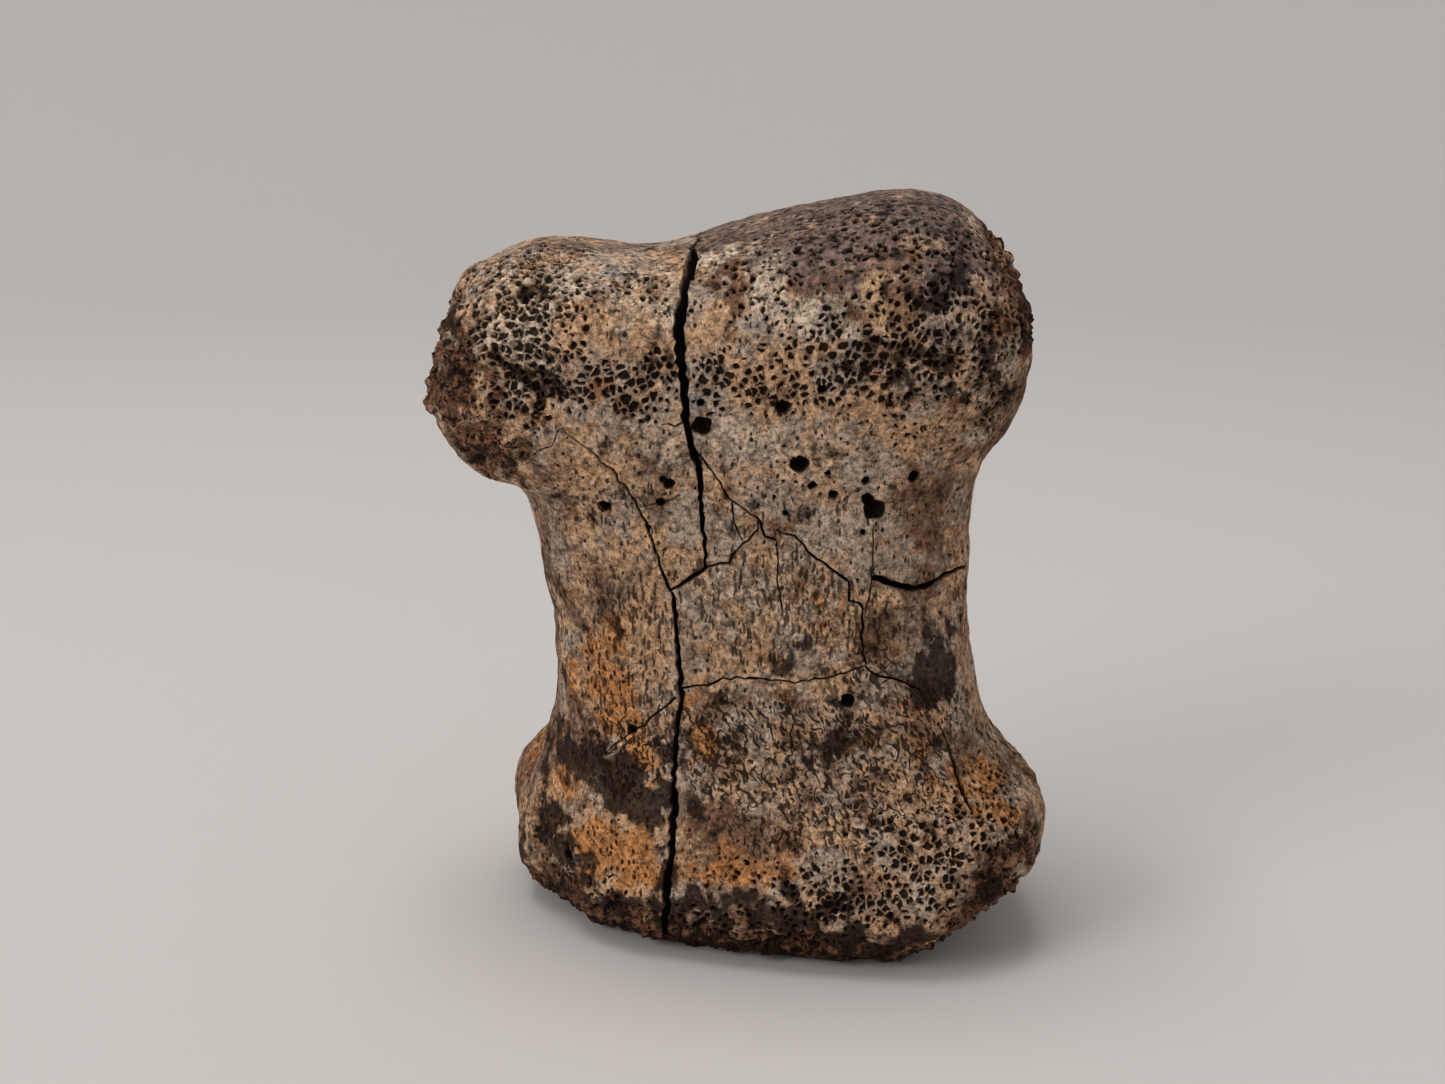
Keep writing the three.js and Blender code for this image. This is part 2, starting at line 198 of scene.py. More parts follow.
# Where the surface differs from plain bone. open is bare spongy bone, crust the crumbled broken skin, cap the
# smooth joint skin, grain the fibres along the shaft and worm the crooked grooves; the rest are stains. Some
# brown
# and dark patches are painted shade: down the left and right edges of the shaft, and in the band round the
# base, which is also the crumbled rim's own colour.
# Each patch of the front or back: strength, x, height and its half-width and half-height, in mm.
PATCHES = {
    "front": {
        "open": (
            (1.15, -28, 87, 10, 11), (1.15, -26, 78, 9, 6), (1.15, -16, 78, 9, 4), (1.0, -10, 80.5, 4, 3),
            (0.95, -2, 80, 6, 5), (0.95, 6, 80.5, 8, 5), (1.0, 14, 83, 9, 7), (1.0, 22, 86, 9, 9),
            (0.95, 31, 86, 5, 10), (0.7, 31, 76, 4, 6), (0.55, 17, 97, 14, 5), (0.75, 27, 94, 8, 6),
            (0.6, 3, 90, 9, 7), (0.55, -13, 91, 8, 4.5), (1.0, 13, 11, 9, 6), (1.05, 22, 16, 9, 7),
            (0.95, 29, 21, 6, 5), (0.8, 33, 24, 4, 4), (0.85, -5, 6, 10, 3), (0.85, 6, 5, 9, 4),
            (0.7, -19, 9, 8, 3), (0.55, 1, 13, 10, 3), (0.42, 4, 72, 7, 4), (0.42, -22, 14, 5, 3),
            (0.45, 20, 74, 8, 5), (0.35, 27, 60, 4, 9), (0.45, -28, 72, 5, 4), (0.3, 8, 66, 10, 5),
        ),
        "crust": (
            (1.1, -37, 81, 3.4, 9), (1.0, -34.5, 73, 4.5, 6), (1.0, -32, 68, 5, 3.5), (1.0, 37, 88, 3.2, 8),
            (0.9, 33, 95, 3, 4), (1.2, 34.5, 14, 4, 7), (1.2, 30, 8, 5, 3.6), (0.9, -19, 6, 10, 2.2),
            (0.9, 26, 4, 8, 2.4), (0.8, 2, 3, 12, 1.6), (1.0, -29, 14, 2.2, 6), (1.0, -25, 8, 3.4, 2.6),
        ),
        "cap": ((1.1, 17, 98, 15, 5), (1.0, 10, 95, 10, 4), (0.8, 1, 98, 8, 2.4), (1.1, 25.5, 94, 6, 5)),
        "pale": (
            (0.9, -18, 92, 7, 4), (0.7, -13, 90, 6, 4), (1.3, -3.4, 92.6, 2.6, 3),
            (1.3, 4, 93.8, 3.4, 1.4), (1.4, 4, 89, 3, 4.4), (0.8, 7, 87, 8, 3),
            (0.8, -28, 86, 8, 8), (0.7, 3, 71, 12, 5), (0.6, -11, 72, 7, 3), (0.45, 22, 15, 9, 6),
            (0.5, 2, 52, 8, 6), (0.5, 2, 36, 6, 4), (0.5, -24, 78, 5, 3), (0.5, 12, 64, 8, 6),
        ),
        "slate": (
            (0.6, -17, 93, 4, 2), (0.6, 1, 85.5, 4, 3), (0.5, 13, 86, 6, 2),
            (0.9, -6, 76, 2.4, 2), (0.5, 15, 32, 6, 3.4), (0.4, 6, 66, 6, 5), (0.5, 24, 98, 6, 4),
        ),
        "tan": (
            (1.0, -15.5, 85, 7, 4), (0.7, -3, 84, 4, 3), (0.7, -18, 66, 7, 7), (0.6, -1, 48, 7, 6),
            (0.9, -13, 44, 3.4, 11), (0.5, 19, 66, 5, 5), (0.6, 10, 77, 8, 2.5), (0.6, 8, 24, 8, 4),
            (0.9, -27, 26, 2.4, 5), (0.8, -18, 15, 9, 5), (0.7, 28, 22, 5, 4),
        ),
        "orange": (
            (1.1, -17.5, 36, 3.8, 8), (1.1, -14, 28, 3, 4), (1.5, -18, 15.5, 8, 4.6), (1.1, -1, 13.5, 8, 3.5),
            (0.9, -7, 33, 1.6, 8), (0.8, -24, 20, 3, 3), (0.5, -17, 78, 5, 2), (0.6, -26, 27, 2, 3),
            (0.7, -22, 11, 4, 2.4), (1.0, -13, 17, 3, 4),
            (0.8, 32, 24, 3, 3), (0.6, 27, 25, 4, 4), (0.6, 33, 84, 2, 6), (0.6, 2, 3, 12, 1.2),
            (0.5, 12, 50, 5, 5), (0.5, -20, 22, 4, 3),
        ),
        # Brown stains; those down the left and right edges of the shaft are also painted shade on the flanks.
        "brown": (
            (0.8, 23, 54, 5, 12), (1.1, 18.5, 46, 5, 6), (0.6, 13, 29, 13, 9), (0.6, -4, 25, 6, 8),
            (0.3, -4, 32, 5, 6), (1.2, 0, 19, 7, 5), (1.1, -27, 46, 2.4, 16), (0.8, -28, 24, 3, 6),
            (0.8, 24, 36, 5, 8),
            (1.3, 31.5, 13, 4, 7), (1.3, 38, 84, 4, 9), (0.9, 32, 76, 4, 5), (1.3, -27, 25, 3.6, 12),
            (0.9, 15, 5, 10, 3.4), (0.7, -14, 77, 8, 2.6), (0.8, 3, 79, 6, 2.4), (0.9, -19, 26, 5, 3),
            (0.7, 27, 28, 5, 5), (0.8, -20, 49, 4, 8), (0.9, 23, 65, 6, 8), (0.6, 25, 77, 6, 3),
            (1.2, 34, 87, 4, 7), (0.6, 17, 12, 9, 5), (0.7, 4, 36, 8, 4),
            (1.2, 12, 90, 3.4, 2.2), (1.3, -1.2, 90, 3, 2.2), (0.9, 3, 93, 4, 1.6), (1.1, 8, 92, 4, 2),
            (0.9, 0, 96, 9, 1.4),
            (0.5, 20, 41, 5, 5), (0.6, -25, 62, 4, 8), (0.9, -22.5, 32, 2, 6), (0.8, -11, 14, 1.6, 8),
            (0.5, 6, 59, 4, 4), (0.5, 29, 44, 2.5, 12), (0.6, -31, 75, 4, 5),
        ),
        "dark": (
            (1.1, -29, 80, 3.2, 2.4), (1.1, -25, 78.5, 4.4, 3), (0.8, -28, 91, 1.8, 1.4),
            # Painted shade: the dark strips at x -24 and -28.5, down the left edge of the shaft where it
            # turns from the light.
            (0.8, -24, 34, 1.4, 8),
            (0.8, -38, 79, 3, 3), (0.8, -35, 70, 3, 3), (0.7, -38, 86, 2, 3), (0.7, -28.5, 33, 2, 8),
            (0.9, -26.6, 27, 2.6, 7), (0.9, -28, 15, 3, 6), (1.0, 39, 82, 2.6, 9), (0.5, 33, 10, 3, 5),
            (0.8, 16, 4, 8, 2.4), (0.3, -3, 33, 3, 4),
            (1.6, -23, 25.4, 3.6, 2.8), (1.7, -18.5, 23.8, 4.4, 2.8), (1.7, -13.5, 22, 3.8, 2.6),
            (0.9, -11, 26, 1.4, 5), (0.7, 34, 86, 3, 6), (0.7, 8, 31, 7, 3), (0.6, -4, 25, 3, 4),
            (1.0, -26.5, 17, 2, 5), (1.0, -20, 8.4, 6, 1.8), (0.9, 22, 7, 6, 1.6), (1.0, 33, 13, 3, 4),
            (1.2, -5.5, 21.5, 2.6, 2.4), (0.9, 6, 43, 1.2, 5), (0.9, 13, 36.5, 2.8, 2),
            (1.9, 25.2, 39.5, 3, 6.4),
            (0.6, 6, 31, 6, 2.6), (1.2, -25, 12, 4, 2.4), (1.2, -15, 8.6, 7, 2), (1.3, -5, 8.5, 6, 2.2),
            (1.3, 5, 8, 7, 2.6), (1.1, 13, 5, 6, 2.4), (0.9, 10.5, 10, 3, 3), (0.8, 23, 84, 6, 3),
            (0.9, -10.6, 15, 1.4, 9), (0.7, -8.5, 30, 1.0, 6), (0.7, 17, 79.5, 5, 1.6), (0.7, 31, 80, 2.4, 5),
            (0.9, 23.5, 91, 3, 2), (0.7, 18.5, 90.5, 3, 1.2), (0.9, -10, 80.5, 2.6, 1), (0.5, 15, 81, 8, 1.8),
            (0.7, 16, 86, 3, 1.4), (0.6, 27, 80, 3, 2), (0.7, -20, 60, 1.4, 1.6), (0.6, 9, 40, 6, 1.6),
        ),
        "grain": ((1.0, 2, 50, 14, 8), (1.0, 13, 48, 9, 7), (0.8, -15, 46, 7, 10), (0.6, -16, 62, 8, 8),
                  (0.7, -14, 34, 8, 8), (0.5, 6, 62, 14, 6)),
        "worm": ((1.0, 13, 26, 17, 9), (1.0, 0, 29, 8, 8), (0.8, 24, 32, 6, 7), (0.7, -16, 27, 7, 6),
                 (0.6, 16, 39, 8, 4), (0.7, 4, 18, 10, 3), (1.0, 2, 33.5, 11, 4), (0.8, 13, 34.5, 9, 4)),
    },
    "back": {
        "open": (
            (0.9, -30, 86, 9, 10), (0.9, 28, 88, 8, 9), (0.7, -4, 82, 16, 5), (0.9, 24, 14, 12, 7),
            (0.7, -24, 12, 9, 6), (0.5, 0, 7, 20, 3), (0.35, -10, 70, 12, 6), (0.36, 8, 16, 14, 4),
        ),
        "crust": ((0.8, -38, 78, 4, 10), (0.8, 33, 92, 4, 6), (0.7, 0, 4, 28, 2.5), (0.7, 36, 18, 4, 8)),
        "cap": ((1.0, 15, 97, 14, 6), (0.9, -16, 92, 12, 4)),
        "pale": ((0.7, 6, 62, 14, 10), (0.7, -28, 86, 8, 8), (0.6, 24, 14, 9, 6), (0.6, -6, 84, 8, 4)),
        "slate": ((0.7, -12, 74, 7, 4), (0.7, 10, 46, 7, 7), (0.6, 20, 80, 6, 4)),
        "tan": ((0.8, -14, 54, 9, 12), (0.7, 16, 68, 8, 7), (0.6, -4, 24, 10, 6)),
        "orange": ((0.9, 14, 24, 8, 6), (0.8, -20, 30, 7, 8), (0.6, -20, 68, 6, 5), (0.6, 4, 10, 10, 2.5)),
        "brown": ((0.6, 20, 50, 6, 12), (0.6, 0, 38, 8, 8), (0.6, -24, 50, 4, 12), (0.5, 26, 78, 6, 5)),
        "dark": ((0.9, -8, 12, 9, 2.4), (0.9, 6, 36, 3, 5), (0.8, -26, 76, 5, 3), (0.8, 12, 80, 7, 2),
                 (0.9, 26, 22, 4, 3), (0.7, -14, 40, 3, 6)),
        "grain": ((0.9, 0, 48, 22, 14),),
        "worm": ((0.9, 4, 25, 22, 8), (0.6, -18, 34, 8, 6)),
    },
}
# Each patch of the two ends and the two edges: mark, strength, middle and reach.
END_PATCHES = (
    ("cap", 1.0, (15, 2, 99), (20, 20, 8)), ("cap", 0.5, (-18, 4, 94), (16, 16, 5)),
    ("cap", 0.9, (-1, -4, 97), (9, 14, 4)), ("crust", 0.9, (35, -2, 95), (5, 16, 6)),
    ("open", 0.45, (24, 4, 99), (12, 14, 8)), ("open", 0.8, (-36, 0, 84), (6, 12, 8)),
    ("open", 0.8, (36, 4, 84), (5, 12, 9)), ("open", 0.8, (38, 4, 16), (7, 14, 8)),
    ("open", 0.7, (0, 0, 0), (28, 18, 4)), ("open", 0.6, (-30, 4, 14), (5, 14, 7)),
    ("crust", 1.0, (-41, 0, 80), (5, 18, 10)), ("crust", 0.8, (37, 0, 88), (4, 16, 8)),
    ("crust", 0.7, (38, -4, 17), (5, 16, 8)), ("crust", 0.8, (0, 0, 2.5), (64, 48, 4)),
    ("crust", 0.9, (-37, 0, 13), (6, 14, 5)),
    # Painted shade: the brown and dark patches down the left edge at x -28 and the right edge at x 33, and
    # the brown and dark bands round the base, which are also the crumbled rim's own colour.
    ("brown", 0.9, (33, -3, 68), (6, 16, 16)), ("brown", 0.6, (-40, 0, 76), (6, 20, 12)),
    ("brown", 1.5, (0, 0, 1), (64, 48, 8)), ("brown", 0.9, (-28, -6, 48), (3, 8, 16)),
    ("brown", 1.3, (-28, -6, 27), (4, 8, 14)), ("dark", 0.9, (-28, -7, 25), (3.6, 7, 11)),
    ("dark", 1.0, (0, 0, 0), (64, 48, 7)), ("brown", 1.6, (41, 0, 85), (6, 20, 12)),
    ("dark", 0.9, (42, -2, 84), (5, 16, 9)), ("open", 1.0, (-28, -8, 92), (10, 9, 6)),
    ("brown", 1.0, (37, -2, 13), (6, 20, 8)),
    ("brown", 1.0, (-34, 4, 18), (5, 12, 10)), ("dark", 0.8, (-34, 0, 9), (5, 14, 5)),
    ("tan", 0.7, (-27, 6, 50), (5, 10, 12)),
    ("grain", 0.7, (30, 0, 46), (6, 14, 16)), ("grain", 0.7, (-27, 0, 46), (6, 14, 16)),
    ("worm", 0.7, (34, 2, 28), (8, 16, 8)), ("worm", 0.6, (-29, 4, 24), (6, 14, 8)),
    ("orange", 0.8, (-30, 8, 24), (5, 9, 7)), ("orange", 0.6, (36, 6, 26), (6, 9, 6)),
    ("dark", 0.9, (30, 4, 40), (4, 7, 8)), ("dark", 0.7, (-28, 4, 36), (4, 6, 7)),
    ("pale", 0.7, (32, 2, 58), (5, 9, 9)), ("slate", 0.7, (-30, 2, 62), (6, 8, 6)),
)
MARKS = ("open", "crust", "cap", "pale", "slate", "tan", "orange", "brown", "dark", "grain", "worm")
# The outlines of the patches wander: each row is a wavelength and how far it moves them, in mm.
WANDERS = ((24, 1.0), (10, 1.3), (4.5, 0.9))
# A patch fades out between these two shares of its reach.
FADE_START, FADE_END = 0.3, 1.5
waves = np.random.default_rng(5)
WAVES = []
for length, far in WANDERS:
    for repeat in range(6):
        turns = waves.normal(0, 1, 3) * 2 * math.pi / length
        start = waves.uniform(0, 2 * math.pi)
        WAVES.append((turns, start, waves.normal(0, far / 2.4, 3)))


def mark(mesh, rest):
    """Stores how strongly each patch shows at each point; rest is where it was on the plain bone, in mm."""
    moved = rest + sum(np.sin(rest @ turns + start)[:, None] * push for turns, start, push in WAVES)
    shown = {name: np.zeros(len(rest)) for name in MARKS}
    for side, marks in PATCHES.items():
        toward = smooth_step(2, 8, -rest[:, 1] if side == "front" else rest[:, 1])
        for name, patches in marks.items():
            for strength, x, z, wide, tall in patches:
                away = np.hypot((moved[:, 0] - x) / wide, (moved[:, 2] - z) / tall)
                inside = 1 - smooth_step(FADE_START, FADE_END, away)
                shown[name] = np.maximum(shown[name], strength * toward * inside)
    for name, strength, middle, reach in END_PATCHES:
        away = np.linalg.norm((moved - middle) / reach, axis=1)
        inside = 1 - smooth_step(FADE_START, FADE_END, away)
        shown[name] = np.maximum(shown[name], strength * inside)
    for name in MARKS:
        write(mesh, name, shown[name])
    return shown


SOFT = {"interpolation_type": "SMOOTHSTEP"}


def add(tree, kind, inputs, out=0, **settings):
    """Adds a node, sets it, links or fills its inputs, and returns one of its outputs."""
    node = tree.nodes.new(kind)
    for name, value in settings.items():
        setattr(node, name, value)
    for key, value in inputs.items():
        if isinstance(value, bpy.types.NodeSocket):
            tree.links.new(value, node.inputs[key])
        else:
            node.inputs[key].default_value = value
    return node.outputs[out]


# Spongy bone has holes of about 1 mm with thin walls between them, and not every cell is open. The broken
# crust crumbles in larger bits. All three are in mm.
CELL_MM = 1.15
PORE_DEPTH = 0.65
CRUMB_MM = 1.5


def open_pores(tree, rest, shown):
    """Depth, from 0 to 1, of the holes of spongy bone; they are closer and wider where more of it shows."""
    clusters = add(tree, "ShaderNodeTexNoise", {"Vector": rest, "Scale": 270, "Detail": 1})
    shown = add(tree, "ShaderNodeMath", {0: shown, 1: 0.3}, operation="SUBTRACT")
    shown = add(tree, "ShaderNodeMath", {0: clusters, 1: 0.6, 2: shown}, operation="MULTIPLY_ADD")
    wander = add(tree, "ShaderNodeTexNoise", {"Vector": rest, "Scale": 900, "Detail": 2}, "Color")
    offset = add(tree, "ShaderNodeVectorMath", {0: wander, 1: (0.5, 0.5, 0.5)}, operation="SUBTRACT")
    bent = add(tree, "ShaderNodeVectorMath", {0: offset, 1: (0.0009,) * 3, 2: rest}, operation="MULTIPLY_ADD")
    cells = {"Vector": bent, "Scale": 1000 / CELL_MM}
    walls = add(tree, "ShaderNodeTexVoronoi", cells, feature="DISTANCE_TO_EDGE")
    middles = add(tree, "ShaderNodeTexVoronoi", cells, "Distance").node.outputs
    chance = add(tree, "ShaderNodeSeparateXYZ", {0: middles["Color"]}).node.outputs
    thick = add(tree, "ShaderNodeMapRange", {0: shown, 1: 0.5, 2: 1.1, 3: 0.13, 4: 0.06}, **SOFT)
    inside = add(tree, "ShaderNodeMath", {0: walls, 1: thick}, operation="SUBTRACT")
    radius = add(tree, "ShaderNodeMapRange", {0: chance[1], 1: 0, 2: 1, 3: -0.02, 4: 0.22})
    radius = add(tree, "ShaderNodeMath", {0: shown, 1: 0.48, 2: radius}, operation="MULTIPLY_ADD")
    radius = add(tree, "ShaderNodeMath", {0: radius, 1: 0.25}, operation="MAXIMUM")
    inner = add(tree, "ShaderNodeMath", {0: radius, 1: middles["Distance"]}, operation="SUBTRACT")
    inside = add(tree, "ShaderNodeMath", {0: inside, 1: inner, 2: 0.06}, operation="SMOOTH_MIN")
    hole = add(tree, "ShaderNodeMapRange", {0: inside, 1: 0, 2: 0.08}, **SOFT)
    level = add(tree, "ShaderNodeMapRange", {0: shown, 1: 0.1, 2: 0.65, 3: -0.1, 4: 1.12}, **SOFT)
    spare = add(tree, "ShaderNodeMath", {0: level, 1: chance[0]}, operation="SUBTRACT")
    opened = add(tree, "ShaderNodeMapRange", {0: spare, 1: 0, 2: 0.12}, **SOFT)
    return add(tree, "ShaderNodeMath", {0: hole, 1: opened}, operation="MULTIPLY")


def skin_group():
    """Geometry nodes that roughen the whole skin, crumble the broken edges and sink the open pores."""
    tree = bpy.data.node_groups.new("bone_skin", "GeometryNodeTree")
    tree.interface.new_socket("Geometry", in_out="INPUT", socket_type="NodeSocketGeometry")
    tree.interface.new_socket("Geometry", in_out="OUTPUT", socket_type="NodeSocketGeometry")
    source = tree.nodes.new("NodeGroupInput")
    sink = tree.nodes.new("NodeGroupOutput")
    rest = add(tree, "GeometryNodeInputPosition", {})
    normal = add(tree, "GeometryNodeInputNormal", {})
    spongy = add(tree, "GeometryNodeInputNamedAttribute", {"Name": "open"}, data_type="FLOAT")
    broken = add(tree, "GeometryNodeInputNamedAttribute", {"Name": "crust"}, data_type="FLOAT")
    lumps = add(tree, "ShaderNodeTexNoise", {"Vector": rest, "Scale": 95, "Detail": 2})
    crumbs = add(tree, "ShaderNodeTexNoise", {"Vector": rest, "Scale": 300, "Detail": 3, "Roughness": 0.6})
    bits = {"Vector": rest, "Scale": 1000 / CRUMB_MM, "Smoothness": 0.25}
    bits = add(tree, "ShaderNodeTexVoronoi", bits, "Distance", feature="SMOOTH_F1")
    ripples = add(tree, "ShaderNodeTexNoise", {"Vector": rest, "Scale": 330, "Detail": 2})
    rise = add(tree, "ShaderNodeMapRange", {0: lumps, 1: 0, 2: 1, 3: -0.0008, 4: 0.0008})
    rise = add(tree, "ShaderNodeMath", {0: ripples, 1: 0.0006, 2: rise}, operation="MULTIPLY_ADD")
    crumble = add(tree, "ShaderNodeMapRange", {0: crumbs, 1: 0.3, 2: 0.7, 3: -0.0007, 4: 0.0007})
    crumble = add(tree, "ShaderNodeMath", {0: bits, 1: -0.001, 2: crumble}, operation="MULTIPLY_ADD")
    broken = add(tree, "ShaderNodeMapRange", {0: broken, 1: 0.2, 2: 0.8}, **SOFT)
    rise = add(tree, "ShaderNodeMath", {0: crumble, 1: broken, 2: rise}, operation="MULTIPLY_ADD")
    pores = open_pores(tree, rest, spongy)
    rise = add(tree, "ShaderNodeMath", {0: pores, 1: -PORE_DEPTH / 1000, 2: rise}, operation="MULTIPLY_ADD")
    shift = add(tree, "ShaderNodeVectorMath", {0: normal, "Scale": rise}, operation="SCALE")
    kept = {"Geometry": source.outputs[0], "Name": "rest", "Value": rest}
    kept = add(tree, "GeometryNodeStoreNamedAttribute", kept, data_type="FLOAT_VECTOR")
    moved = add(tree, "GeometryNodeSetPosition", {"Geometry": kept, "Offset": shift})
    tree.links.new(moved, sink.inputs[0])
    return tree


def run_group(thing, tree):
    """Runs a geometry node group on a mesh and keeps the result."""
    modifier = thing.modifiers.new(tree.name, "NODES")
    modifier.node_group = tree
    with bpy.context.temp_override(object=thing, active_object=thing):
        bpy.ops.object.modifier_apply(modifier=modifier.name)


# The spongy and crumbled parts get finer squares than the rest, so that their holes are open in the mesh.
FINER_ABOVE = 0.45
shown = mark(mesh, points)
corners = np.empty(len(mesh.polygons) * 4, np.int32)
mesh.polygons.foreach_get("vertices", corners)
spongy = np.maximum(shown["open"], shown["crust"])[corners].reshape(-1, 4).mean(axis=1) > FINER_ABOVE
mesh.polygons.foreach_set("select", spongy)
bpy.ops.object.mode_set(mode="EDIT")
bpy.ops.mesh.select_mode(type="FACE")
bpy.ops.mesh.subdivide(number_cuts=1)
bpy.ops.object.mode_set(mode="OBJECT")
mark(mesh, read(mesh, "position") * 1000)
run_group(bone, skin_group())

# Flat where it rests, and thinned to fewer triangles where the surface is plain.
MOST_TRIANGLES = 176000
spots = read(mesh, "position")
spots[:, 2] = np.maximum(spots[:, 2], 0)
write(mesh, "position", spots)
mesh.calc_loop_triangles()
thin = bone.modifiers.new("thin", "DECIMATE")
thin.ratio = MOST_TRIANGLES / len(mesh.loop_triangles)
bpy.ops.object.modifier_apply(modifier=thin.name)

# Cracks and vessel holes
# The bone split as it dried and was buried, and small blood vessels left round holes in it. A crack is cut by
# a thin wedge that follows the surface, and a hole by a blunt, uneven cone.
# Each crack: side, depth, widths from end to end, and course as x and height, or x and y on top, in mm.
CRACKS = (
    ("front", 5.0, (1.0, 1.3, 1.8, 1.6, 1.2, 1.3, 1.1, 0.9, 0.7, 0.6, 0.5), (
        (-7.0, 94.4), (-7.2, 93.6), (-7.9, 90.2), (-8.5, 87.4), (-8.2, 83.8), (-7.9, 79.6), (-7.6, 75.3),
        (-7.2, 71.1), (-5.9, 68.5), (-5.9, 63.4), (-5.4, 58.8), (-5.3, 54.5),
    )),
    ("top", 4.5, (1.2, 1.0, 0.7, 0.5, 0.3), (
        (-7.1, -16), (-6.4, -12), (-7.0, -8), (-6.0, -2), (-6.6, 4), (-5.2, 9), (-5.6, 14),
    )),
    ("front", 4.5, (0.5, 0.8, 0.9, 0.9, 1.0, 1.3, 1.2, 1.1, 1.0), (
        (-9.7, 51.0), (-9.1, 46.1), (-8.7, 40.7), (-8.6, 35.6), (-9.2, 31.5), (-9.4, 27.6), (-9.4, 23.7),
        (-9.7, 19.4), (-10.0, 14.7), (-10.6, 9.2), (-10.9, 4.4), (-10.8, 1.6),
    )),
    ("front", 3.0, (0.6, 0.8, 0.6, 0.4, 0.3), (
        (-10.1, 51.0), (-6.6, 53.3), (-5.3, 54.5), (-2.5, 55.1), (-1.1, 56.9), (1.6, 59.7),
    )),
    ("front", 2.4, (0.3, 0.45, 0.5, 0.5, 0.5), (
        (-23.6, 73.2), (-20.9, 71.2), (-17.8, 68.5), (-15.2, 65.3), (-12.6, 59.8), (-11.5, 55.7),
        (-10.2, 51.8), (-9.7, 51.0),
    )),
    ("front", 1.6, (0.3, 0.3), ((-23.6, 73.2), (-24.7, 70.8), (-27.6, 69.2))),
    ("front", 1.6, (0.3, 0.35), ((-13.6, 62.7), (-11.0, 63.4), (-8.4, 64.6))),
    ("front", 2.0, (0.3, 0.6), ((-10.8, 74.0), (-7.1, 74.0))),
    ("front", 2.0, (0.4, 0.35, 0.4), (
        (-7.1, 71.1), (-5.0, 68.5), (-2.3, 64.3), (1.6, 61.1), (2.3, 58.9), (3.9, 58.3),
    )),
    ("front", 1.4, (0.3, 0.3), ((-1.8, 63.5), (-1.4, 60.5), (-0.4, 58.3))),
    ("front", 2.0, (0.4, 0.4, 0.5, 0.5, 0.4), (
        (3.9, 59.7), (6.2, 58.8), (8.6, 56.2), (11.3, 54.1), (13.3, 52.7), (13.5, 50.2), (15.3, 49.2),
        (15.3, 47.6), (15.2, 44.5), (15.8, 41.3),
    )),
    ("front", 1.2, (0.3, 0.25), ((3.9, 58.3), (4.2, 52.9), (4.6, 48.0))),
    ("front", 1.4, (0.25, 0.35), ((16.4, 60.2), (16.4, 53.0), (15.6, 48.4))),
    ("front", 4.0, (0.9, 1.1, 0.9, 1.1, 0.8, 0.5), (
        (16.4, 53.1), (18.5, 52.3), (21.9, 51.1), (25.0, 51.3), (26.7, 52.1), (29.7, 52.1),
    )),
    ("front", 1.8, (0.5, 0.4, 0.35, 0.4, 0.3), (
        (-8.4, 37.8), (-4.1, 38.6), (-3.3, 39.5), (1.7, 39.5), (6.6, 39.1), (10.4, 39.7), (13.2, 40.5),
        (15.7, 41.2), (16.5, 40.2), (20.0, 39.1), (23.1, 37.5),
    )),
    ("front", 2.4, (0.4, 0.7, 1.0, 0.7), (
        (26.0, 32.3), (27.0, 29.4), (28.0, 26.7), (28.9, 24.1), (29.9, 22.4),
    )),
    ("front", 1.6, (0.4, 0.3), ((-9.2, 36.5), (-13.2, 32.6), (-15.1, 31.2), (-19.0, 27.3))),
    ("back", 2.4, (0.4, 0.7, 0.5, 0.3), (
        (6, 88), (4.4, 78), (6.2, 69), (3.6, 58), (4.8, 47), (2.4, 36), (3.2, 29),
    )),
    ("back", 1.6, (0.3, 0.4, 0.3), ((4.8, 47), (10.5, 44.6), (16, 46), (22, 42.5))),
    ("back", 1.6, (0.3, 0.3), ((3.6, 58), (-3, 54), (-9.5, 55.4), (-15, 51))),
)
# Each hole: x, height and radius, in mm.
HOLES = (
    (16.5, 62.1, 1.3), (6.8, 68.7, 1.14), (4.6, 76.3, 1.0), (-5.7, 73.8, 1.26), (-5.8, 76.8, 0.5),
    (-18.3, 62.5, 1.0), (-11.0, 63.4, 0.6), (-9.8, 66.0, 0.7), (-10.6, 66.6, 0.5), (8.4, 65.7, 0.66),
    (11.1, 64.4, 0.66), (10.3, 67.4, 0.4), (15.2, 66.2, 0.55), (21.5, 66.4, 0.77), (5.0, 62.0, 0.4),
    (9.4, 78.5, 0.63), (20.3, 77.7, 0.5), (22.4, 73.1, 0.5), (-12.6, 59.8, 0.4), (13.4, 36.7, 0.9),
    (-15.1, 31.3, 0.67), (-24.2, 12.2, 0.84), (15.1, 59.2, 0.4), (15.6, 63.6, 0.8),
)
# Each crack is drawn in steps of this length, strays this far from its course, starts this far outside the
# skin and is this much wider than its widths say, in mm.
CRACK_STEP = 0.85
CRACK_WANDER = 0.1
CRACK_CLEAR = 1.2
CRACK_EXTRA = 0.06
chance = np.random.default_rng(11)


def on_bone(side, first, second):
    """The point of the bone that is seen from one side at two coordinates, in mm, and which way it faces."""
    if side == "top":
        start, toward = (first, second, 150), (0, 0, -1)
    else:
        away = -100 if side == "front" else 100
        start, toward = (first, away, second), (0, -away, 0)
    hit, place, normal, face = bone.ray_cast(Vector(start) / 1000, Vector(toward))
    if not hit:
        raise ValueError(f"no bone {side} at {first}, {second}")
    return place * 1000, normal


def soften(values, reach):
    """A running mean down the rows."""
    padded = np.pad(values, ((reach, reach), (0, 0)), mode="edge")
    return sum(padded[i:i + len(values)] for i in range(2 * reach + 1)) / (2 * reach + 1)


